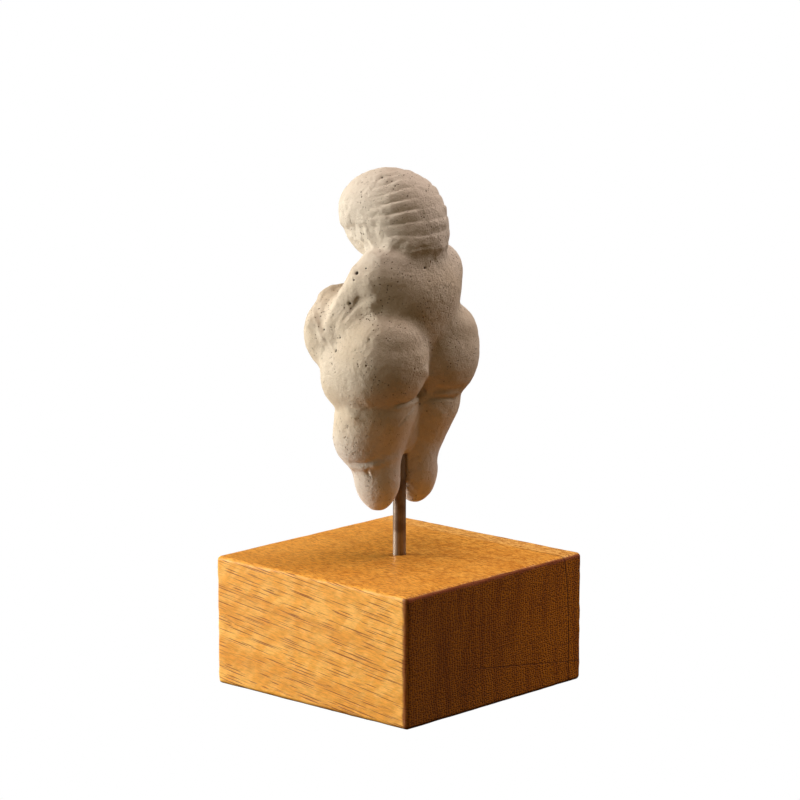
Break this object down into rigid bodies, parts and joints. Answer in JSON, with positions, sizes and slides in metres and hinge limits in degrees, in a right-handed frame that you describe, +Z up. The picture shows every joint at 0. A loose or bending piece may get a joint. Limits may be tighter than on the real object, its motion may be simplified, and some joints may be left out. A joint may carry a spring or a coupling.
{
  "type": "venus figurine on a block",
  "caption": "Small cast figurine of a broad, full-bodied woman with rolled rows of hair, held clear of a square oak block by a steel rod.",
  "frame": {"origin": "middle of the block's underside", "axes": "+Z up; the figure's front faces -Y and its left side +X, square with the block; the block's grain runs along Y"},
  "size_m": [0.083, 0.083, 0.1663],
  "materials": {
    "plaster": "matt cast stone or plaster, fine pits",
    "steel": "dulled brown steel rod",
    "oak": "satin oiled oak"
  },
  "bodies": {
    "root": {"block": "oak", "rod": "steel", "figure": "plaster"}
  },
  "joints": []
}
